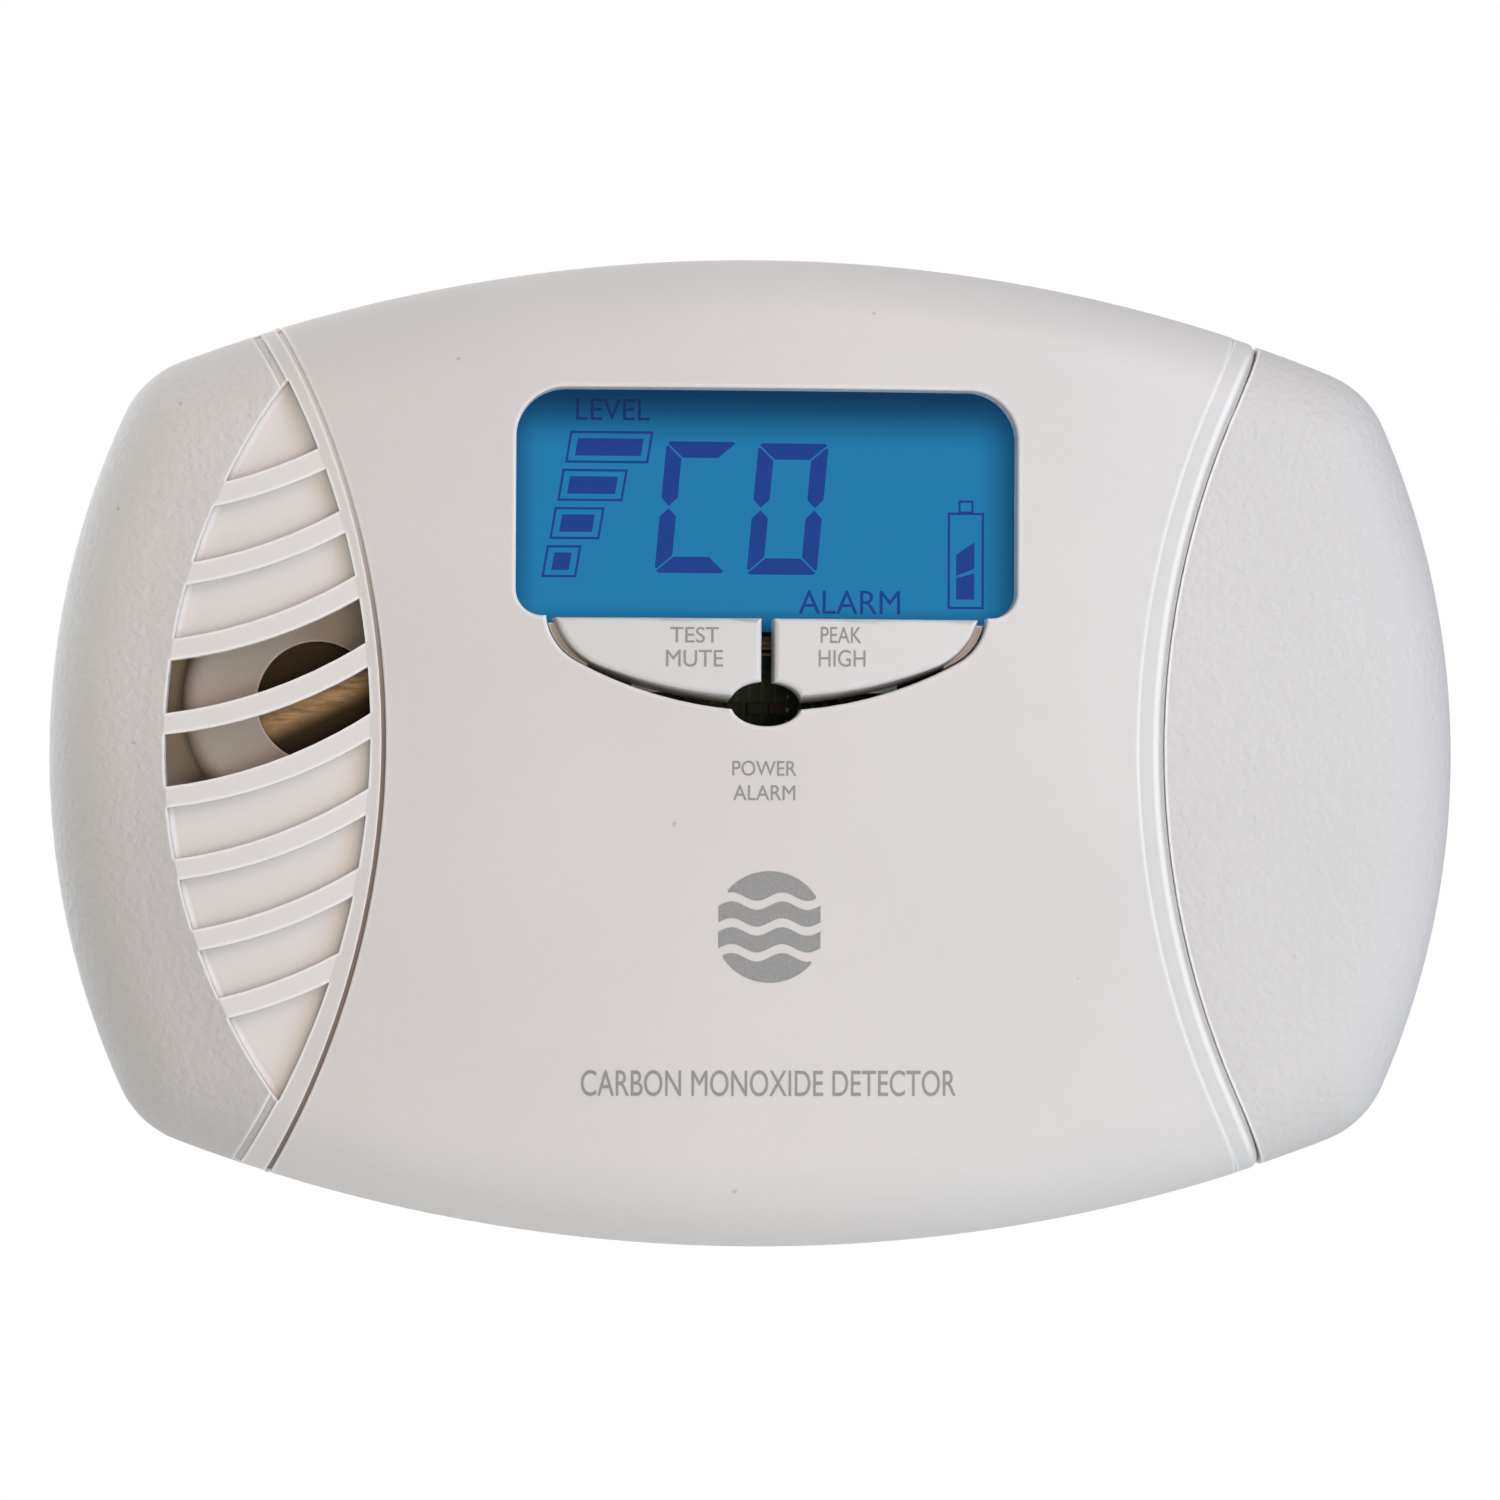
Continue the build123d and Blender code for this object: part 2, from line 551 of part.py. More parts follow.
def cell_spring(row, sign):
    """The coil spring behind a cell's flat end; sign is the side of the cell's nub."""
    gap_from = -sign * (CELL_BODY / 2 - CELL_SHIFT + 0.1)
    gap_to = -sign * (BAY_HALF - 0.55)
    length = abs(gap_to - gap_from) - 2 * SPRING_WIRE_R
    path = Helix(pitch=length / 3, height=length, radius=SPRING_R)
    coil = sweep(Plane(path @ 0, z_dir=path % 0) * Circle(SPRING_WIRE_R), path=path)
    start = -sign * (BAY_HALF - 0.55 - SPRING_WIRE_R)
    return Pos(start, -CELL_DEPTH, CELL_ROWS[row]) * Rot(0, sign * 90, 0) * coil


def contact_plate(row, side):
    """A sprung plate at one end of the bay."""
    x = side * (BAY_HALF - 0.3)
    return block(about(x, 0.2), about(CELL_ROWS[row], 5.0), 3.0, 16.5)


# ---------------------------------------------------------------- plug
def blade(side):
    """A flat mains blade with a rounded tip and a round hole."""
    thick, wide = BLADE
    length = BLADE_OUT + BLADE_IN
    flat = Rectangle(wide, length)
    flat = fillet(flat.vertices().group_by(Axis.Y)[1], 1.6)
    flat -= Pos(0, length / 2 - BLADE_OUT + BLADE_HOLE) * Circle(BLADE_HOLE_R)
    bar = extrude(flat, thick / 2, both=True)
    # drawn with its length along Y and its width along X; stand the width up along Z
    return Pos(side * BLADE_X, (BLADE_OUT - BLADE_IN) / 2, 0) * Rot(0, 90, 0) * bar


def blade_carrier():
    body = block(about(0, CARRIER_HALF[0]), about(0, CARRIER_HALF[1]), HOUSING_WALL + 0.05, CARRIER_TOP)
    for side in (-1, 1):
        body -= block(about(side * BLADE_X, 0.8), about(0, 3.2), -1, 20)
    return body


def mains_wire(side):
    """From a blade's inner end up and outwards to the board."""
    x, end = side * BLADE_X, side * 9.0
    points = [point(x, 0, BLADE_IN + 0.05), point(x, 0, 14.4), point(end, 6.0, 16.6),
              point(end, 6.0, UNDER)]
    return wire(MAINS_R, points, [1.2, 1.2])


def battery_lead(z):
    """From a contact plate through the bay's wall and forward to the board."""
    x = -(BAY_HALF + BAY_WALL + 2.4)
    points = [point(-BAY_HALF + 0.05, z, LEAD_DEPTH), point(x, z, LEAD_DEPTH), point(x, z, UNDER)]
    return wire(LEAD_R, points, [1.8])


# ---------------------------------------------------------------- board
def main_board():
    board = prism(outline(BOARD_INSET), *BOARD)
    for x, z in CASE_SCREWS:
        board -= disc(x, z, CASE_BOSS_R + 0.6, 0, BEYOND)
    for x, z in BOARD_SCREWS:
        board -= disc(x, z, 1.6, 0, BEYOND)
    return board


def chip(place, half_x, half_z, pins):
    """A surface-mounted chip and its two rows of legs."""
    x, z = place
    solids = [block(about(x, half_x), about(z, half_z), SEAT + 0.2, SEAT + 1.5)]
    pitch = 2 * half_z / pins
    for side in (-1, 1):
        for i in range(pins):
            leg_z = z - half_z + pitch * (i + 0.5)
            leg_x = side * (half_x + 0.6)
            solids.append(block(about(x + leg_x, 0.55), about(leg_z, pitch / 5), SEAT, SEAT + 0.45))
    return Compound(children=solids)


def capacitor(x, z, radius, height):
    """An electrolytic can hanging on the board's back."""
    can = disc(x, z, radius, UNDER - height, UNDER)
    return fillet(can.faces().sort_by(Axis.Y)[-1].edges(), 0.7)


def lamps():
    """The alarm, fault and power lamps seen through the lamp hole."""
    return Compound(children=[
        block(about(LAMP_X + dx, 0.8), about(LAMP_Z, 0.6), SEAT, SEAT + 0.9) for dx in (-2.2, 0, 2.2)])


def small_parts():
    """Chip resistors and capacitors in short rows on the board's front."""
    solids = []
    for x, z in CHIP_ROWS:
        for i in range(4):
            solids.append(block(about(x + 3.0 * i, 0.9), about(z, 0.6), SEAT, SEAT + 0.7))
    return Compound(children=solids)


def coil():
    """The horn's autotransformer: a flanged bobbin with its winding."""
    low, high = COIL_WOUND
    core = disc(COIL_X, COIL_Z, COIL_CORE_R, SEAT, COIL_TOP)
    core += disc(COIL_X, COIL_Z, COIL_FLANGE_R, SEAT, low)
    core += disc(COIL_X, COIL_Z, COIL_FLANGE_R, high, COIL_TOP)
    return core, ring(COIL_X, COIL_Z, COIL_R, COIL_CORE_R + 0.05, low + 0.05, high - 0.05)


# ---------------------------------------------------------------- fasteners
def screw(x, z, seat, tip, head_size, shank_r, toward):
    """A pan-head screw along the depth; toward is 1 if it is driven from the back, -1 from the front."""
    head_r, head = head_size
    top = seat - toward * head
    body = disc(x, z, head_r, min(seat, top), max(seat, top))
    body += disc(x, z, shank_r, min(seat, tip), max(seat, tip))
    slot_low, slot_high = sorted((top, top + toward * head * 0.55))
    for half_x, half_z in ((head_r * 0.6, 0.4), (0.4, head_r * 0.6)):
        body -= block(about(x, half_x), about(z, half_z), slot_low, slot_high)
    return body


def case_screws():
    return Compound(children=[
        screw(x, z, CASE_SEAT, PARTING + 11, CASE_HEAD, CASE_SHANK_R, 1) for x, z in CASE_SCREWS])


def board_screws():
    return Compound(children=[
        screw(x, z, SEAT, UNDER - 9, BOARD_HEAD, BOARD_SHANK_R, -1) for x, z in BOARD_SCREWS])


# ---------------------------------------------------------------- write every piece
save("front_cover", front_cover())
save("rear_housing", rear_housing())
save("battery_door", battery_door())
save("rating_label", rating_label())
save("test_button", button(-1))
save("peak_button", button(1))
for label, hand in (("test", -1), ("peak", 1)):
    save(f"{label}_switch_body", switch_body(hand))
    save(f"{label}_switch_plunger", switch_plunger(hand))

save("main_board", main_board())
save("display_holder", holder())
save("light_guide", block(about(0, GLASS_HALF - 0.3), (GLASS_Z[0] + 0.1, LEDGE_Z - 3.2), *GUIDE))
save("display_rear_glass", block(about(0, GLASS_HALF), (GLASS_Z[0], LEDGE_Z), REAR_GLASS, FRONT_GLASS))
save("display_front_glass", block(about(0, GLASS_HALF), GLASS_Z, FRONT_GLASS, FRONT_GLASS + GLASS))
save("display_film", block(about(0, GLASS_HALF - 0.4), (GLASS_Z[0] + 0.2, GLASS_Z[1] - 0.4),
                           FRONT_GLASS + GLASS, DISPLAY_FACE))
save("display_contacts", contacts())

save("horn_cap", horn_cap())
save("horn_base", horn_base())
save("piezo_disc", disc(HORN_X, HORN_Z, DISC_R, *DISC))
save("gas_cell_can", gas_cell_can())
save("gas_cell_cap", gas_cell_cap())

save("upper_battery", cell(0, 1))
save("lower_battery", cell(1, -1))
save("battery_springs", Compound(children=[cell_spring(0, 1), cell_spring(1, -1)]))
save("battery_contacts", Compound(children=[contact_plate(r, s) for r in (0, 1) for s in (-1, 1)]))
save("left_blade", blade(-1))
save("right_blade", blade(1))
save("blade_carrier", blade_carrier())
save("mains_wires", Compound(children=[mains_wire(-1), mains_wire(1)]))
save("positive_lead", battery_lead(CELL_ROWS[0]))
save("negative_lead", battery_lead(CELL_ROWS[1]))

save("controller_chip", chip(CONTROLLER, 4.0, 5.2, 10))
save("amplifier_chip", chip(AMPLIFIER, 2.0, 2.6, 4))
save("line_capacitor", block(LINE_CAPACITOR_X, LINE_CAPACITOR_Z, 5.0, UNDER))
save("smoothing_capacitors", Compound(children=[capacitor(*each) for each in SMOOTHING]))
coil_core, coil_winding = coil()
save("horn_coil_core", coil_core)
save("horn_coil_winding", coil_winding)
save("indicator_lamps", lamps())
save("chip_components", small_parts())
save("case_screws", case_screws())
save("board_screws", board_screws())
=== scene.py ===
import math

import bmesh
import bpy
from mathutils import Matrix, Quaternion, Vector


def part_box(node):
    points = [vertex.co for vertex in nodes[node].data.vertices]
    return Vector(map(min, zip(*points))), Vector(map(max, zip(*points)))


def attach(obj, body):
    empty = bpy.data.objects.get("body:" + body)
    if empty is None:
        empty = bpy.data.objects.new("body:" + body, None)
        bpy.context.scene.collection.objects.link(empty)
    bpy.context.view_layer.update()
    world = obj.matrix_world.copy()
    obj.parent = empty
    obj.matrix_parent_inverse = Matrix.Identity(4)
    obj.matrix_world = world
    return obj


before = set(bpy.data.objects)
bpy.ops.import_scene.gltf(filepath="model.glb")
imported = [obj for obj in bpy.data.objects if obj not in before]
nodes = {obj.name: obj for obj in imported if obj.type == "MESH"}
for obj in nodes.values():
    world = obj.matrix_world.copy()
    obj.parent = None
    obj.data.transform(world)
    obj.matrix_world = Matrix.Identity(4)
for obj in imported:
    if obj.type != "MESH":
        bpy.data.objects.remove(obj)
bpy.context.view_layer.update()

# Looks for a plug-in carbon monoxide detector: its moulded case, printed marks, lit display, the horn
# behind the vents and the parts that show through its openings. Metres; the front faces -Y, Z is up.
MM = 0.001


# ---------------------------------------------------------------- places, from the frame
def node_box(name):
    low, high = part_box(name)
    return Vector(low), Vector(high)


COVER_LOW = node_box("front_cover")[0]
FILM_LOW = node_box("display_film")[0]
FRONT = -COVER_LOW.y                 # depth of the panel at X = 0
PANEL_R = 330 * MM                   # the panel's bow
LCD_FACE = -FILM_LOW.y               # depth of the display's front
PRINT_RISE = 0.03 * MM
MARK_RISE = 0.02 * MM
BUTTON_PROUD = 0.5 * MM              # the buttons stand this far in front of the panel
LINE_X, LINE_Z = 121.0 * MM, 0.55 * MM   # centres of the styling arcs


def panel_depth(x):
    return FRONT - PANEL_R + math.sqrt(PANEL_R ** 2 - x ** 2)


# ---------------------------------------------------------------- camera
def make_camera():
    target = Vector((0.0, -0.020, 0.0))
    place = Vector((-0.0350, -0.5209, -0.0088))
    data = bpy.data.cameras.new("camera")
    data.lens = 120.0
    data.sensor_width = 36.0
    data.clip_start = 0.01
    data.shift_x, data.shift_y = -0.00307, 0.00283
    camera = bpy.data.objects.new("camera", data)
    camera.location = place
    level = (target - place).to_track_quat("-Z", "Y")
    camera.rotation_euler = (level @ Quaternion((0, 0, 1), math.radians(0.248))).to_euler()
    bpy.context.scene.collection.objects.link(camera)
    bpy.context.scene.camera = camera


# ---------------------------------------------------------------- lights and floor
# (name, place, size, power, colour); all look at the middle of the case
LIGHTS = [("upper_right", (0.55, -0.95, 0.75), (0.7, 0.7), 10.0, (0.58, 0.35, 0.305)),
          ("near_right", (0.42, -0.42, 0.1), (0.3, 0.3), 2.0, (0.32, 0.56, 0.77)),
          ("front", (0.15, -1.1, -0.2), (0.5, 0.5), 8.0, (0.465, 0.37, 0.255))]


def area_light(name, place, size, power, colour):
    data = bpy.data.lights.new(name, "AREA")
    data.shape = "RECTANGLE"
    data.size, data.size_y = size
    data.energy = power
    data.color = colour
    lamp = bpy.data.objects.new(name, data)
    lamp.location = place
    lamp.rotation_euler = (-Vector(place)).to_track_quat("-Z", "Y").to_euler()
    bpy.context.scene.collection.objects.link(lamp)


# the room's light: (direction it comes from, how narrow it is, colour times strength)
ROOM = [((0, -0.3, 1), 2.0, (0.50, 0.62, 0.62)),
        ((0, -0.3, -1), 2.0, (0.11, 0.15, 0.14)),
        ((-1, 0.7, 0.1), 2.0, (1.65, 1.75, 1.83)),
        ((0, 1, 0), 1.0, (0.56, 0.44, 0.46))]


def make_world():
    """A white backdrop for the camera, and soft light whose strength depends on where it comes from."""
    world = bpy.data.worlds.new("studio")
    world.use_nodes = True
    tree = world.node_tree
    tree.nodes.clear()
    direction = tree.nodes.new("ShaderNodeTexCoord").outputs["Generated"]
    total = None
    for towards, narrow, colour in ROOM:
        facing = tree.nodes.new("ShaderNodeVectorMath")
        facing.operation = "DOT_PRODUCT"
        tree.links.new(direction, facing.inputs[0])
        facing.inputs[1].default_value = Vector(towards).normalized()
        positive = tree.nodes.new("ShaderNodeMath")
        positive.operation = "MAXIMUM"
        tree.links.new(facing.outputs["Value"], positive.inputs[0])
        positive.inputs[1].default_value = 0.0
        power = tree.nodes.new("ShaderNodeMath")
        power.operation = "POWER"
        tree.links.new(positive.outputs[0], power.inputs[0])
        power.inputs[1].default_value = narrow
        lobe = tree.nodes.new("ShaderNodeVectorMath")
        lobe.operation = "MULTIPLY_ADD"
        tree.links.new(power.outputs[0], lobe.inputs[0])
        lobe.inputs[1].default_value = colour
        if total is not None:
            tree.links.new(total, lobe.inputs[2])
        total = lobe.outputs[0]
    soft = tree.nodes.new("ShaderNodeBackground")
    tree.links.new(total, soft.inputs["Color"])
    white = tree.nodes.new("ShaderNodeBackground")
    white.inputs["Color"].default_value = (1, 1, 1, 1)
    path = tree.nodes.new("ShaderNodeLightPath")
    mix = tree.nodes.new("ShaderNodeMixShader")
    out = tree.nodes.new("ShaderNodeOutputWorld")
    tree.links.new(path.outputs["Is Camera Ray"], mix.inputs[0])
    tree.links.new(soft.outputs[0], mix.inputs[1])
    tree.links.new(white.outputs[0], mix.inputs[2])
    tree.links.new(mix.outputs[0], out.inputs[0])
    bpy.context.scene.world = world
    bpy.context.scene.view_settings.view_transform = "Standard"


def make_floor():
    mesh = bpy.data.meshes.new("studio_floor")
    half, z = 1.0, -0.25
    corners = [(-half, -half, z), (half, -half, z), (half, half, z), (-half, half, z)]
    mesh.from_pydata(corners, [], [(0, 1, 2, 3)])
    floor = bpy.data.objects.new("studio_floor", mesh)
    bpy.context.scene.collection.objects.link(floor)
    mat = Material("studio_floor")
    mat.set(base=(0.86, 0.86, 0.85), rough=0.7)
    floor.data.materials.append(mat.data)


# ---------------------------------------------------------------- material helper
class Material:
    """A node material with a Principled shader and short calls for the nodes that these surfaces need."""

    def __init__(self, name):
        self.data = bpy.data.materials.new(name)
        self.data.use_nodes = True
        self.tree = self.data.node_tree
        self.shader = self.tree.nodes["Principled BSDF"]
        self.coord = self.tree.nodes.new("ShaderNodeTexCoord").outputs["Object"]
        self.split = None

    def set(self, base=None, rough=None, metal=None, specular=None, ior=None, coat=None, coat_rough=None,
            transmission=None, glow=None):
        values = {"Roughness": rough, "Metallic": metal, "Specular IOR Level": specular, "IOR": ior,
                  "Coat Weight": coat, "Coat Roughness": coat_rough, "Transmission Weight": transmission,
                  "Emission Strength": glow}
        for socket, value in values.items():
            if value is not None:
                self.shader.inputs[socket].default_value = value
        if base is not None:
            self.shader.inputs["Base Color"].default_value = (*base, 1)
        return self

    def link(self, source, socket):
        self.tree.links.new(source, socket)

    def into(self, source, name):
        self.tree.links.new(source, self.shader.inputs[name])

    def axis(self, letter):
        """The X, Y or Z of a point on the surface, in metres."""
        if self.split is None:
            self.split = self.tree.nodes.new("ShaderNodeSeparateXYZ")
            self.link(self.coord, self.split.inputs[0])
        return self.split.outputs[letter]

    def math(self, kind, a, b=0.0, clamp=False):
        node = self.tree.nodes.new("ShaderNodeMath")
        node.operation = kind
        node.use_clamp = clamp
        for socket, value in zip(node.inputs, (a, b)):
            if isinstance(value, (int, float)):
                socket.default_value = value
            else:
                self.link(value, socket)
        return node.outputs[0]

    def smooth(self, value, start, end):
        """0 at start, 1 at end, with a soft step between them; start may be the larger one."""
        node = self.tree.nodes.new("ShaderNodeMapRange")
        node.interpolation_type = "SMOOTHSTEP"
        self.link(value, node.inputs["Value"])
        node.inputs["From Min"].default_value = start
        node.inputs["From Max"].default_value = end
        return node.outputs[0]

    def radius(self, x, z):
        """Distance from the line along Y through (x, z)."""
        dx = self.math("SUBTRACT", self.axis("X"), x)
        dz = self.math("SUBTRACT", self.axis("Z"), z)
        squares = self.math("ADD", self.math("MULTIPLY", dx, dx), self.math("MULTIPLY", dz, dz))
        return self.math("SQRT", squares)

    def stretched(self, scale):
        """The surface coordinates scaled unevenly, for brushed or drawn finishes."""
        node = self.tree.nodes.new("ShaderNodeMapping")
        self.link(self.coord, node.inputs["Vector"])
        node.inputs["Scale"].default_value = scale
        return node.outputs[0]

    def noise(self, size, detail=3.0, rough=0.55, coord=None):
        """Noise whose lumps are about size metres across."""
        node = self.tree.nodes.new("ShaderNodeTexNoise")
        self.link(coord or self.coord, node.inputs["Vector"])
        node.inputs["Scale"].default_value = 1.0 / size
        node.inputs["Detail"].default_value = detail
        node.inputs["Roughness"].default_value = rough
        return node.outputs["Fac"]

    def ramp(self, value, stops):
        """Colours along a value: stops are (position, (r, g, b))."""
        node = self.tree.nodes.new("ShaderNodeValToRGB")
        self.link(value, node.inputs[0])
        points = node.color_ramp.elements
        points[0].position, points[0].color = stops[0][0], (*stops[0][1], 1)
        points[1].position, points[1].color = stops[-1][0], (*stops[-1][1], 1)
        for position, colour in stops[1:-1]:
            points.new(position).color = (*colour, 1)
        return node.outputs["Color"]

    def mix(self, factor, a, b):
        """Colour a where factor is 0 and b where it is 1."""
        node = self.tree.nodes.new("ShaderNodeMix")
        node.data_type = "RGBA"
        # a Mix node keeps its colour pair in sockets 6 and 7, after the float and vector pairs
        for index, value in ((0, factor), (6, a), (7, b)):
            if isinstance(value, tuple):
                node.inputs[index].default_value = (*value, 1)
            elif isinstance(value, float):
                node.inputs[index].default_value = value
            else:
                self.link(value, node.inputs[index])
        return node.outputs[2]

    def near(self, value, middle, full, none):
        """1 where value is within full of the middle, fading to 0 at none."""
        return self.smooth(self.math("ABSOLUTE", self.math("SUBTRACT", value, middle)), none, full)

    def corners(self, reach):
        """0 on open surfaces, towards 1 in corners closer than reach."""
        node = self.tree.nodes.new("ShaderNodeAmbientOcclusion")
        node.samples = 8
        node.inputs["Distance"].default_value = reach
        return self.math("SUBTRACT", 1.0, node.outputs["AO"])

    def ridges(self, reach):
        """0 on flat surfaces, towards 1 at outer edges closer than reach."""
        node = self.tree.nodes.new("ShaderNodeAmbientOcclusion")
        node.samples = 8
        node.inside = True
        node.inputs["Distance"].default_value = reach
        return self.math("SUBTRACT", 1.0, node.outputs["AO"])

    def bump(self, height, depth, edge=0.0):
        """Relief of the given depth in metres, over edges that catch light as if rounded by edge."""
        node = self.tree.nodes.new("ShaderNodeBump")
        node.inputs["Distance"].default_value = depth
        self.link(height, node.inputs["Height"])
        if edge > 0:
            bright_edge = self.tree.nodes.new("ShaderNodeBevel")
            bright_edge.samples = 6
            bright_edge.inputs["Radius"].default_value = edge
            self.link(bright_edge.outputs[0], node.inputs["Normal"])
        self.into(node.outputs[0], "Normal")


# ---------------------------------------------------------------- moulded plastics
WHITE = (0.700, 0.675, 0.655)
SHADE_TINT = (0.20, 0.14, 0.10)
EDGE_HIGHLIGHT = (0.97, 0.96, 0.95)
EDGE_SOFTNESS = 0.2 * MM
# arcs round the vent field: centre x, centre z
FIELD_LEFT = (0.45 * MM, 0.53 * MM)
FIELD_RIGHT = (-115.15 * MM, 1.38 * MM)
# distances from the centres of the styling arcs
GROOVE_MIDDLE = 83.91 * MM
BAND_FALL = 82.05 * MM
BAND_CREST = 82.75 * MM
PANEL_CREST = 84.47 * MM


def moulded(mat, base, spread=0.03, corner_shade=0.45):
    """Broad, faint shifts of tone, finer mottling and a few dark specks, as in bulk moulded resin, and
    painted shade in its corners.
    """
    dark = tuple(c * (1 - spread) for c in base)
    light = tuple(min(1.0, c * (1 + spread * 0.6)) for c in base)
    broad = mat.noise(30 * MM, 2)
    colour = mat.ramp(broad, [(0.3, dark), (0.7, light)])
    fine = mat.smooth(mat.noise(0.9 * MM, 2), 0.35, 0.75)
    colour = mat.mix(mat.math("MULTIPLY", fine, 0.06), colour, tuple(c * 0.93 for c in base))
    specks = mat.smooth(mat.noise(1.2 * MM, 0.0), 0.905, 0.92)
    colour = mat.mix(mat.math("MULTIPLY", specks, 0.4), colour, tuple(c * 0.4 for c in base))
    # painted shade: corners closer than the reach are darkened towards a brown tint
    shaded_corners = mat.math("MULTIPLY", mat.corners(1.1 * MM), corner_shade)
    return mat.mix(shaded_corners, colour, SHADE_TINT)


def cover_plastic():
    """Satin middle panel, grained wings, smooth bars and bands, with painted light and shade on the wings,
    vent field, groove, right band and outer edges.
    """
    mat = Material("cover_plastic").set(specular=0.42)
    from_left = mat.radius(-LINE_X, LINE_Z)
    from_right = mat.radius(LINE_X, LINE_Z)
    # 1 on a wing, 0 on the panel, its bands and the vent field
    left_of_field = mat.smooth(mat.radius(*FIELD_LEFT), 58.7 * MM, 58.9 * MM)
    left_of_band = mat.smooth(mat.radius(*FIELD_RIGHT), 76.8 * MM, 76.6 * MM)
    left_wing = mat.math("MULTIPLY", left_of_field, left_of_band)
    right_wing = mat.smooth(from_right, 81.9 * MM, 81.7 * MM)
    wing = mat.math("ADD", left_wing, right_wing, clamp=True)
    colour = moulded(mat, WHITE, corner_shade=0.6)
    field = mat.math("MULTIPLY", left_of_band, mat.math("SUBTRACT", 1.0, left_of_field))
    colour = mat.mix(mat.math("MULTIPLY", field, 0.45), colour, (0.92, 0.89, 0.87))
    # tones painted to match the lighting of the front view, not properties of the plastic: the wings are a
    # shade darker, the left one more so towards its lower end, and the vent field above is lighter
    left_shade = mat.math("MULTIPLY", mat.smooth(mat.axis("Z"), 32 * MM, -25 * MM), 0.28)
    shade = mat.math("ADD", mat.math("MULTIPLY", left_wing, left_shade),
                     mat.math("MULTIPLY", right_wing, 0.11))
    colour = mat.mix(shade, colour, (0.28, 0.265, 0.255))
    # the groove: painted light at its upper end, painted shade further down
    groove = mat.near(from_left, GROOVE_MIDDLE, 0.20 * MM, 0.27 * MM)
    lower = mat.smooth(mat.axis("Z"), 32 * MM, -2 * MM)
    groove_light = mat.math("MULTIPLY", groove, mat.math("SUBTRACT", 0.8, lower))
    colour = mat.mix(groove_light, colour, (0.80, 0.77, 0.74))
    groove_shade = mat.math("MULTIPLY", groove, mat.math("MULTIPLY", lower, 0.8))
    colour = mat.mix(groove_shade, colour, (0.16, 0.10, 0.075))
    # the right band: painted shade on its falling side, painted highlights on both crests
    inside = mat.smooth(mat.math("ABSOLUTE", mat.axis("Z")), 41 * MM, 38 * MM)
    fall_shade = mat.math("MULTIPLY", mat.near(from_right, BAND_FALL, 0.22 * MM, 0.42 * MM), inside)
    colour = mat.mix(mat.math("MULTIPLY", fall_shade, 0.45), colour, (0.36, 0.32, 0.28))
    crest_highlights = mat.math("ADD", mat.near(from_right, BAND_CREST, 0.08 * MM, 0.36 * MM),
                      mat.near(from_right, PANEL_CREST, 0.06 * MM, 0.20 * MM), clamp=True)
    crest_highlights = mat.math("MULTIPLY", mat.math("MULTIPLY", crest_highlights, inside), 0.6)
    colour = mat.mix(crest_highlights, colour, EDGE_HIGHLIGHT)
    # painted highlight along every outer edge
    rim = mat.math("MULTIPLY", mat.smooth(mat.ridges(0.40 * MM), 0.03, 0.25), 0.8)
    mat.into(mat.mix(rim, colour, EDGE_HIGHLIGHT), "Base Color")
    coarse = mat.math("MULTIPLY", mat.noise(0.78 * MM, 2.0, 0.45), wing)
    fine = mat.math("MULTIPLY", mat.noise(0.22 * MM, 2.0), 0.09)
    mat.bump(mat.math("ADD", coarse, fine), 0.21 * MM, EDGE_SOFTNESS)
    rough = mat.math("ADD", mat.math("MULTIPLY", wing, 0.10), 0.40)
    rough = mat.math("ADD", rough, mat.math("MULTIPLY", mat.noise(4 * MM, 2), 0.06))
    mat.into(rough, "Roughness")
    return mat.data


def grained_plastic(name, base, lump=0.75 * MM):
    """The same resin with a coarse, even grain all over."""
    mat = Material(name).set(specular=0.42)
    mat.into(moulded(mat, base), "Base Color")
    mat.bump(mat.noise(lump, 2.5, 0.5), 0.05 * MM, EDGE_SOFTNESS)
    mat.into(mat.math("ADD", mat.math("MULTIPLY", mat.noise(5 * MM, 2), 0.08), 0.46), "Roughness")
    return mat.data


def satin_plastic(name, base, rough=0.4, spread=0.04, bright_edge=None, corner_shade=0.45, shine=0.45):
    """Fine spark-eroded satin, for small mouldings; an edge colour, when given, is painted along its outer
    edges as a highlight.
    """
    mat = Material(name).set(specular=shine)
    colour = moulded(mat, base, spread, corner_shade)
    if bright_edge:
        # painted highlight along the outer edges
        rim = mat.math("MULTIPLY", mat.smooth(mat.ridges(0.30 * MM), 0.06, 0.42), 0.85)
        colour = mat.mix(rim, colour, bright_edge)
    mat.into(colour, "Base Color")
    mat.bump(mat.noise(0.16 * MM, 2.0), 0.006 * MM, 0.12 * MM)
    mat.into(mat.math("ADD", mat.math("MULTIPLY", mat.noise(3 * MM, 2), 0.1), rough - 0.05), "Roughness")
    return mat.data


# ---------------------------------------------------------------- metals
TARNISH = (0.30, 0.22, 0.14)


def brushed_metal(name, base, stretch, rough=0.28, amount=0.25):
    """Metal with fine lines drawn out along one axis and a little tarnish."""
    mat = Material(name).set(metal=1.0)
    lines = mat.noise(1.0, 4, 0.6, mat.stretched(stretch))
    dark = tuple(c * 0.75 for c in base)
    colour = mat.ramp(lines, [(0.3, dark), (0.7, base)])
    stain = mat.smooth(mat.noise(2.5 * MM, 4, 0.65), 0.5, 0.75)
    mat.into(mat.mix(mat.math("MULTIPLY", stain, amount), colour, TARNISH), "Base Color")
    mat.bump(lines, 0.01 * MM)
    mat.into(mat.math("ADD", mat.math("MULTIPLY", lines, 0.2), rough - 0.1), "Roughness")
    return mat.data


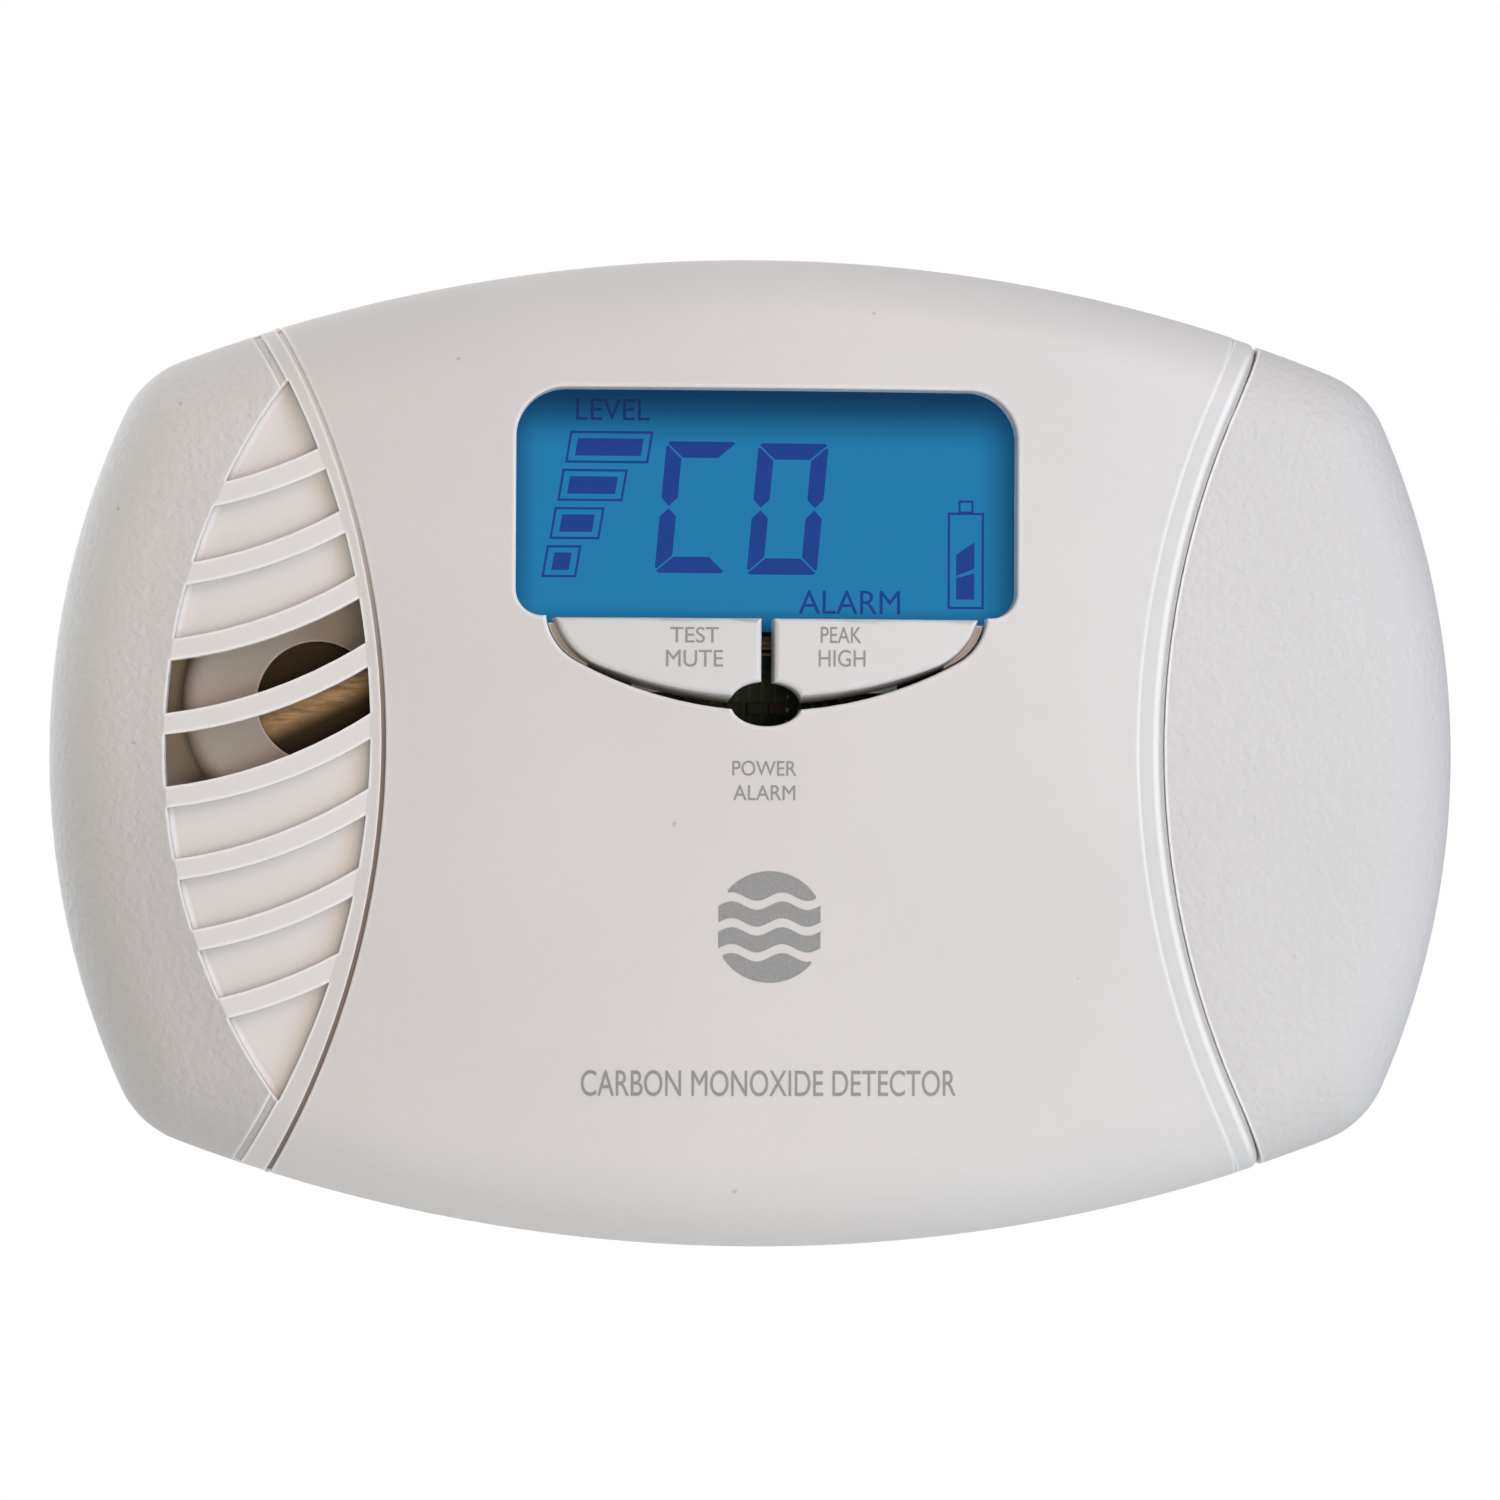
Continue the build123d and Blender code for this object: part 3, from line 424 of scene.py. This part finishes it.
def horn_disc():
    """A brushed brass disc: painted shade over most of it and one broad band of painted light across it."""
    mat = Material("piezo_brass").set(metal=1.0, rough=0.35)
    slope = math.radians(25.6)
    across = mat.math("ADD", mat.math("MULTIPLY", mat.axis("X"), -math.sin(slope)),
                      mat.math("MULTIPLY", mat.axis("Z"), math.cos(slope)))
    middle = 43.9 * MM * math.sin(slope) + 4.7 * MM * math.cos(slope)
    off = mat.math("ABSOLUTE", mat.math("SUBTRACT", across, middle))
    streaks = mat.noise(1.0, 4, 0.6, mat.stretched((500, 500, 2500)))
    # painted light: a band parallel to the vent bars shows the brass, painted shade darkens the rest
    band = mat.smooth(mat.math("ADD", off, mat.math("MULTIPLY", streaks, 0.9 * MM)), 2.6 * MM, 0.5 * MM)
    brass = mat.ramp(streaks, [(0.3, (0.13, 0.09, 0.06)), (0.7, (0.36, 0.26, 0.17))])
    mat.into(mat.mix(band, (0.035, 0.026, 0.020), brass), "Base Color")
    mat.bump(streaks, 0.02 * MM)
    return mat.data


# ---------------------------------------------------------------- electronics
def stripes(mat, value, pitch):
    """0 on the middle line of each stripe and 0.5 between two stripes."""
    step = mat.math("FRACT", mat.math("DIVIDE", value, pitch))
    return mat.math("ABSOLUTE", mat.math("SUBTRACT", step, 0.5))


def circuit_board():
    """Dark green solder mask over tracks and pads."""
    mat = Material("circuit_board").set(specular=0.2, coat=0.05, coat_rough=0.3, rough=0.45)
    x, z = mat.axis("X"), mat.axis("Z")
    pitch = 1.27 * MM
    stripe_x = stripes(mat, x, pitch)
    stripe_z = stripes(mat, z, pitch)
    patch = mat.smooth(mat.noise(7 * MM, 1), 0.47, 0.50)
    track_x = mat.smooth(stripe_x, 0.17, 0.13)
    track_z = mat.smooth(stripe_z, 0.17, 0.13)
    tracks = mat.math("ADD", mat.math("MULTIPLY", track_x, patch),
                      mat.math("MULTIPLY", track_z, mat.math("SUBTRACT", 1.0, patch)), clamp=True)
    board = mat.ramp(mat.noise(10 * MM, 2), [(0.3, (0.010, 0.040, 0.018)), (0.7, (0.016, 0.060, 0.026))])
    board = mat.mix(tracks, board, (0.035, 0.115, 0.045))
    pads = mat.math("MULTIPLY", mat.math("MULTIPLY", track_x, track_z),
                    mat.smooth(mat.noise(4 * MM, 1), 0.53, 0.56))
    mat.into(mat.mix(pads, board, (0.75, 0.55, 0.25)), "Base Color")
    mat.bump(mat.math("ADD", tracks, pads), 0.03 * MM)
    return mat.data


def chip_resin():
    mat = Material("chip_resin").set(specular=0.4)
    speckle = mat.noise(0.12 * MM, 2)
    mat.into(mat.ramp(speckle, [(0.3, (0.012, 0.012, 0.013)), (0.75, (0.04, 0.04, 0.042))]), "Base Color")
    mat.bump(speckle, 0.01 * MM)
    mat.into(mat.math("ADD", mat.math("MULTIPLY", speckle, 0.2), 0.5), "Roughness")
    return mat.data


def wound_copper():
    """Turns of enamelled wire round a bobbin whose axis runs through the board."""
    mat = Material("copper_winding").set(metal=0.85, coat=0.5, coat_rough=0.15)
    turn = mat.math("FRACT", mat.math("DIVIDE", mat.axis("Y"), 0.3 * MM))
    bulge = mat.math("SINE", mat.math("MULTIPLY", turn, math.pi))
    mat.into(mat.ramp(bulge, [(0.0, (0.10, 0.03, 0.01)), (0.8, (0.62, 0.25, 0.09))]), "Base Color")
    mat.bump(bulge, 0.1 * MM)
    mat.into(mat.math("ADD", mat.math("MULTIPLY", mat.noise(1 * MM, 2), 0.2), 0.2), "Roughness")
    return mat.data


def insulation(name, base):
    mat = Material(name).set(specular=0.4)
    tone = mat.noise(1.5 * MM, 3)
    mat.into(mat.ramp(tone, [(0.3, tuple(c * 0.8 for c in base)), (0.7, base)]), "Base Color")
    mat.bump(tone, 0.02 * MM)
    mat.into(mat.math("ADD", mat.math("MULTIPLY", tone, 0.15), 0.38), "Roughness")
    return mat.data


def wrapped_cell():
    """A plain cell wrap: dark body with a copper-coloured band at the positive end."""
    mat = Material("battery_wrap").set(specular=0.5, coat=0.4, coat_rough=0.12)
    along = mat.axis("X")
    streak = mat.noise(1.0, 3, 0.5, mat.stretched((200, 2500, 2500)))
    body = mat.ramp(streak, [(0.3, (0.020, 0.022, 0.024)), (0.7, (0.035, 0.037, 0.040))])
    band = mat.smooth(mat.math("ABSOLUTE", along), 17.0 * MM, 17.2 * MM)
    mat.into(mat.mix(mat.math("MULTIPLY", band, 0.9), body, (0.55, 0.30, 0.12)), "Base Color")
    mat.bump(streak, 0.008 * MM)
    mat.into(mat.math("ADD", mat.math("MULTIPLY", streak, 0.15), 0.22), "Roughness")
    return mat.data


# ---------------------------------------------------------------- display
LCD_TOP, LCD_LOW = 35.2 * MM, 13.0 * MM
LCD_LEFT, LCD_RIGHT = -24.6 * MM, 24.6 * MM


def display_glow(name, bright, dim):
    """A backlit film: even in the middle, with painted shadow of the window's rim under its top edge and
    towards its sides.
    """
    mat = Material(name).set(base=(0.0, 0.0, 0.0), rough=0.38, specular=0.03, glow=1.0)
    x, z = mat.axis("X"), mat.axis("Z")
    # painted shadow: the glow is dimmed under the window's top edge and near its other edges
    light = mat.smooth(mat.math("SUBTRACT", LCD_TOP, z), 0.0, 6.0 * MM)
    for edge, reach in ((mat.math("SUBTRACT", x, LCD_LEFT), 2.8 * MM),
                        (mat.math("SUBTRACT", LCD_RIGHT, x), 4.2 * MM),
                        (mat.math("SUBTRACT", z, LCD_LOW), 1.6 * MM)):
        light = mat.math("MULTIPLY", light, mat.smooth(edge, -1.8 * MM, reach))
    streak = mat.noise(1.0, 2, 0.5, mat.stretched((60, 60, 3500)))
    light = mat.math("ADD", light, mat.math("MULTIPLY", mat.math("SUBTRACT", streak, 0.5), 0.07), clamp=True)
    middle = tuple(0.45 * a + 0.55 * b for a, b in zip(dim, bright))
    mat.into(mat.ramp(light, [(0.0, dim), (0.55, middle), (1.0, bright)]), "Emission Color")
    mat.bump(mat.noise(0.08 * MM, 1), 0.002 * MM)
    return mat.data


def clear_glass():
    mat = Material("display_glass").set(base=(0.92, 0.97, 0.98), transmission=1.0, ior=1.5)
    mat.into(mat.math("ADD", mat.math("MULTIPLY", mat.noise(4 * MM, 2), 0.04), 0.01), "Roughness")
    return mat.data


# ---------------------------------------------------------------- thin printed and lit shapes
def thin_solid(name, outlines, depth_at, thick, material, body, slot):
    """Closed thin plates from outlines of (x, z) points in metres; depth_at gives the front's depth."""
    mesh = bpy.data.meshes.new(name)
    form = bmesh.new()
    for outline in outlines:
        front = [form.verts.new((x, -depth_at(x, z), z)) for x, z in outline]
        back = [form.verts.new((x, -depth_at(x, z) + thick, z)) for x, z in outline]
        form.faces.new(front)
        form.faces.new(list(reversed(back)))
        for i in range(len(outline)):
            j = (i + 1) % len(outline)
            form.faces.new((front[j], front[i], back[i], back[j]))
    bmesh.ops.recalc_face_normals(form, faces=form.faces)
    form.to_mesh(mesh)
    form.free()
    return place(name, mesh, material, body, slot)


def place(name, mesh, material, body, slot):
    piece = bpy.data.objects.new(name, mesh)
    bpy.context.scene.collection.objects.link(piece)
    mesh.materials.clear()
    mesh.materials.append(material)
    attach(piece, body)
    return piece


def words(name, lines, depth_at, thick, material, body, slot):
    """Printed lettering, one mesh. lines are (text, left x, right x, low z, high z) in millimetres."""
    form = bmesh.new()
    for text, left, right, low, high in lines:
        curve = bpy.data.curves.new(name, "FONT")
        curve.body = text
        holder = bpy.data.objects.new(name, curve)
        bpy.context.scene.collection.objects.link(holder)
        graph = bpy.context.evaluated_depsgraph_get()
        flat = bpy.data.meshes.new_from_object(holder.evaluated_get(graph))
        bpy.data.objects.remove(holder)
        xs = [v.co.x for v in flat.vertices]
        ys = [v.co.y for v in flat.vertices]
        scale_x = (right - left) / (max(xs) - min(xs))
        scale_z = (high - low) / (max(ys) - min(ys))
        for v in flat.vertices:
            x = (left + (v.co.x - min(xs)) * scale_x) * MM
            z = (low + (v.co.y - min(ys)) * scale_z) * MM
            v.co = (x, z, 0)
        form.from_mesh(flat)
        bpy.data.meshes.remove(flat)
    bmesh.ops.remove_doubles(form, verts=form.verts, dist=1e-7)
    faces = list(form.faces)
    made = bmesh.ops.extrude_face_region(form, geom=faces)
    top = {v for v in made["geom"] if isinstance(v, bmesh.types.BMVert)}
    for v in form.verts:
        x, z = v.co.x, v.co.y
        v.co = (x, -depth_at(x, z) + (0 if v in top else thick), z)
    bmesh.ops.recalc_face_normals(form, faces=form.faces)
    mesh = bpy.data.meshes.new(name)
    form.to_mesh(mesh)
    form.free()
    return place(name, mesh, material, body, slot)


def on_panel(x, z):
    return panel_depth(x) + PRINT_RISE


def on_button(x, z):
    return on_panel(x, z) + BUTTON_PROUD


def on_display(x, z):
    return LCD_FACE + MARK_RISE


def printed_ink():
    mat = Material("printed_ink").set(specular=0.4)
    tone = mat.noise(0.3 * MM, 3)
    mat.into(mat.ramp(tone, [(0.25, (0.27, 0.27, 0.27)), (0.8, (0.34, 0.34, 0.335))]), "Base Color")
    mat.bump(tone, 0.004 * MM)
    mat.into(mat.math("ADD", mat.math("MULTIPLY", tone, 0.15), 0.42), "Roughness")
    return mat.data


def slanted(points, lean):
    """Points pushed sideways with height, in millimetres, then turned to metres."""
    return [((x + lean * z) * MM, z * MM) for x, z in points]


def shifted(points, x, z):
    return [(px + x * MM, pz + z * MM) for px, pz in points]


# one seven-segment digit, in millimetres: width, height, stroke, gap and corner cut, and its lean
DIGIT = (6.9, 12.9, 1.6, 0.12, 0.28)
DIGIT_LEAN = 0.09
BAR_LEAN = 0.165
MARK_THICK = 0.015 * MM
PRINT_THICK = 0.02 * MM


def digit(lit, x, z):
    """The lit segments of a seven-segment digit whose lower left corner is at (x, z) millimetres."""
    w, h, t, g, c = DIGIT
    top = [(g + c, h), (w - g - c, h), (w - g, h - 0.6 * c),
           (w - t - g, h - t), (t + g, h - t), (g, h - 0.6 * c)]
    side = [(0, h - g - 1.6 * c), (0.6 * c, h - g - c), (t, h - t - g), (t, h / 2 + t * 0.5 + g),
            (t / 2, h / 2 + g), (0, h / 2 + t * 0.5 + g)]
    shapes = {
        "a": top, "d": [(px, h - pz) for px, pz in top],
        "f": side, "e": [(px, h - pz) for px, pz in side],
        "b": [(w - px, pz) for px, pz in side], "c": [(w - px, h - pz) for px, pz in side]}
    return [shifted(slanted(shapes[s], DIGIT_LEAN), x, z) for s in lit]


def frame_strips(x, z, wide, high, line, lean=0.0):
    """A hollow rectangle as four mitred strips; (x, z) is its lower left corner in millimetres."""
    outer = [(0, 0), (wide, 0), (wide, high), (0, high)]
    inner = [(line, line), (wide - line, line), (wide - line, high - line), (line, high - line)]
    strips = []
    for i in range(4):
        j = (i + 1) % 4
        strips.append(shifted(slanted([outer[i], outer[j], inner[j], inner[i]], lean), x, z))
    return strips


def display_marks():
    """Level bars, digits, battery sign and two small words, as the display lights them."""
    ink = display_glow("display_segment", (0.016, 0.052, 0.260), (0.008, 0.020, 0.090))
    shapes = []
    for i, wide in enumerate((8.15, 6.4, 4.9, 3.4)):
        x, z = -19.58 - 0.75 * i, 28.2 - 3.74 * i
        shapes += frame_strips(x, z, wide, 3.15, 0.24, BAR_LEAN)
        fill = [(0.85, 0.72), (wide - 0.85, 0.72), (wide - 0.85, 2.43), (0.85, 2.43)]
        shapes.append(shifted(slanted(fill, BAR_LEAN), x, z))
    thin_solid("display_level_bars", shapes, on_display, MARK_THICK, ink, "root", "display_film")
    shapes = digit("adef", -10.78, 17.5) + digit("abcdef", -1.75, 17.4)
    thin_solid("display_digits", shapes, on_display, MARK_THICK, ink, "root", "display_film")
    shapes = frame_strips(18.07, 14.16, 3.6, 9.5, 0.24) + frame_strips(19.12, 23.55, 1.5, 1.3, 0.22)
    for low, slope in ((15.1, 0.0), (17.4, 0.75)):
        corners = ((18.92, low), (20.72, low + slope), (20.72, low + 2.6 + slope), (18.92, low + 2.1))
        shapes.append([(px * MM, pz * MM) for px, pz in corners])
    thin_solid("display_battery_sign", shapes, on_display, MARK_THICK, ink, "root", "display_film")
    words("display_words", [("LEVEL", -18.5, -11.3, 32.4, 34.5), ("ALARM", 3.4, 13.4, 13.6, 15.9)],
          on_display, MARK_THICK, ink, "root", "display_film")


def slit_contacts():
    """Three gold strips in front of the display's holder, seen through the slit between the buttons; their
    darker gold is painted shade of the slit.
    """
    shapes = []
    for z in (10.7, 10.2, 9.6):
        strip = ((-2.2, z - 0.1), (2.2, z - 0.1), (2.2, z + 0.1), (-2.2, z + 0.1))
        shapes.append([(px * MM, pz * MM) for px, pz in strip])
    # painted shade: a darker copy of the contact gold, for strips deep in the slit
    gold = brushed_metal("shaded_gold", (0.15, 0.11, 0.06), (3000, 300, 3000), 0.45)
    thin_solid("slit_contacts", shapes, lambda x, z: 31.4 * MM, 0.25 * MM, gold, "root", "gold_contact")


def badge():
    """A plain round badge with three air waves cut through it."""
    ink = bpy.data.materials["printed_ink"]
    x0, z0, r = 0.26, -17.03, 5.4
    count = 24
    wave = [(-1 + 2 * i / count) for i in range(count + 1)]

    def height(level, u):
        return level + 0.42 * math.sin(u * 2.2 * math.pi)

    # four bands of the disc between the waves
    cuts = [(-2.5, 0.45), (0.0, 0.45), (2.5, 0.45)]
    shapes = []
    for i in range(count):
        for low_cut, high_cut in ((None, cuts[0]), (cuts[0], cuts[1]), (cuts[1], cuts[2]), (cuts[2], None)):
            u0, u1 = wave[i], wave[i + 1]
            quad = []
            for u in (u0, u1):
                x = u * r
                rim = math.sqrt(max(0.0, r * r - x * x))
                low = -rim if low_cut is None else max(-rim, height(low_cut[0], u) + low_cut[1])
                high = rim if high_cut is None else min(rim, height(high_cut[0], u) - high_cut[1])
                quad.append((x, low, high))
            (xa, la, ha), (xb, lb, hb) = quad
            if ha - la > 0.02 and hb - lb > 0.02:
                quad = ((xa, la), (xb, lb), (xb, hb), (xa, ha))
                shapes.append([((x0 + px) * MM, (z0 + pz) * MM) for px, pz in quad])
    thin_solid("front_badge", shapes, on_panel, PRINT_THICK, ink, "root", "cover_plastic")


def printed_marks():
    ink = printed_ink()
    words("front_lettering", [("POWER", -3.4, 2.8, -2.4, -0.95), ("ALARM", -3.3, 2.7, -4.75, -3.3),
                              ("CARBON MONOXIDE DETECTOR", -17.9, 18.5, -33.4, -30.9)],
          on_panel, PRINT_THICK, ink, "root", "cover_plastic")
    words("test_button_lettering", [("TEST", -9.5, -4.8, 10.44, 11.96), ("MUTE", -9.9, -4.4, 8.12, 9.73)],
          on_button, PRINT_THICK, ink, "test_button", "button_plastic")
    words("peak_button_lettering", [("PEAK", 5.1, 9.05, 10.5, 12.06), ("HIGH", 4.9, 9.45, 8.2, 9.83)],
          on_button, PRINT_THICK, ink, "peak_button", "button_plastic")
    badge()


# ---------------------------------------------------------------- finishes on the CAD nodes
def finish(material, *names):
    for name in names:
        node = nodes[name]
        node.data.materials.clear()
        node.data.materials.append(material)


def finish_nodes():
    finish(cover_plastic(), "front_cover")
    finish(grained_plastic("housing_plastic", WHITE), "rear_housing")
    finish(grained_plastic("door_plastic", WHITE, 0.6 * MM), "battery_door")
    finish(satin_plastic("label", (0.74, 0.74, 0.72), 0.35, 0.02), "rating_label")
    # the buttons get a painted highlight along their outer edges
    finish(satin_plastic("button_plastic", (0.700, 0.685, 0.675), 0.38, 0.02, EDGE_HIGHLIGHT),
           "test_button", "peak_button")
    finish(satin_plastic("switch_body", (0.02, 0.02, 0.022), 0.45), "test_switch_body", "peak_switch_body")
    finish(satin_plastic("switch_plunger", (0.05, 0.05, 0.055), 0.4), "test_switch_plunger",
           "peak_switch_plunger")
    finish(circuit_board(), "main_board")
    finish(satin_plastic("holder_plastic", (0.02, 0.02, 0.022), 0.45), "display_holder")
    finish(satin_plastic("light_guide", (0.60, 0.75, 0.85), 0.2), "light_guide")
    finish(clear_glass(), "display_rear_glass", "display_front_glass")
    finish(display_glow("display_film", (0.017, 0.196, 0.405), (0.004, 0.040, 0.110)), "display_film")
    finish(brushed_metal("gold_contact", (0.85, 0.60, 0.25), (3000, 300, 3000), 0.3), "display_contacts")
    # painted shade: a pale plastic given a brownish grey tone, as it looks deep behind the vents; its outer
    # edges get a painted highlight
    finish(satin_plastic("horn_plastic", (0.46, 0.39, 0.33), 0.5, bright_edge=(0.70, 0.62, 0.55), corner_shade=0.2),
           "horn_cap", "horn_base")
    finish(horn_disc(), "piezo_disc")
    finish(brushed_metal("cell_steel", (0.60, 0.60, 0.61), (300, 6000, 300), 0.3), "gas_cell_can")
    finish(satin_plastic("gas_cap", (0.70, 0.70, 0.68), 0.4), "gas_cell_cap")
    finish(wrapped_cell(), "upper_battery", "lower_battery")
    finish(brushed_metal("spring_steel", (0.66, 0.66, 0.67), (2000, 2000, 2000), 0.25, amount=0.1),
           "battery_springs", "battery_contacts")
    finish(brushed_metal("blade_metal", (0.72, 0.66, 0.50), (9000, 250, 9000), 0.3, amount=0.15),
           "left_blade", "right_blade")
    finish(satin_plastic("carrier_plastic", (0.05, 0.05, 0.055), 0.45), "blade_carrier")
    finish(insulation("mains_insulation", (0.55, 0.55, 0.53)), "mains_wires")
    finish(insulation("red_insulation", (0.45, 0.02, 0.015)), "positive_lead")
    finish(insulation("black_insulation", (0.02, 0.02, 0.02)), "negative_lead")
    finish(chip_resin(), "controller_chip", "amplifier_chip")
    finish(satin_plastic("film_capacitor", (0.50, 0.36, 0.06), 0.3), "line_capacitor")
    finish(satin_plastic("capacitor_sleeve", (0.015, 0.018, 0.05), 0.28), "smoothing_capacitors")
    finish(satin_plastic("ferrite", (0.05, 0.05, 0.055), 0.5), "horn_coil_core")
    finish(wound_copper(), "horn_coil_winding")
    # the lenses' near-black tone is partly their own dark tint and partly painted shade of the hole they sit
    # behind
    finish(satin_plastic("lamp_lens", (0.020, 0.020, 0.012), 0.3, shine=0.1), "indicator_lamps")
    finish(satin_plastic("chip_ceramic", (0.20, 0.15, 0.10), 0.4), "chip_components")
    finish(brushed_metal("screw_steel", (0.55, 0.55, 0.56), (2500, 500, 2500), 0.3, amount=0.12),
           "case_screws", "board_screws")


# ---------------------------------------------------------------- build
make_camera()
make_world()
for light in LIGHTS:
    area_light(*light)
make_floor()
finish_nodes()
printed_marks()
display_marks()
slit_contacts()

bpy.context.view_layer.update()
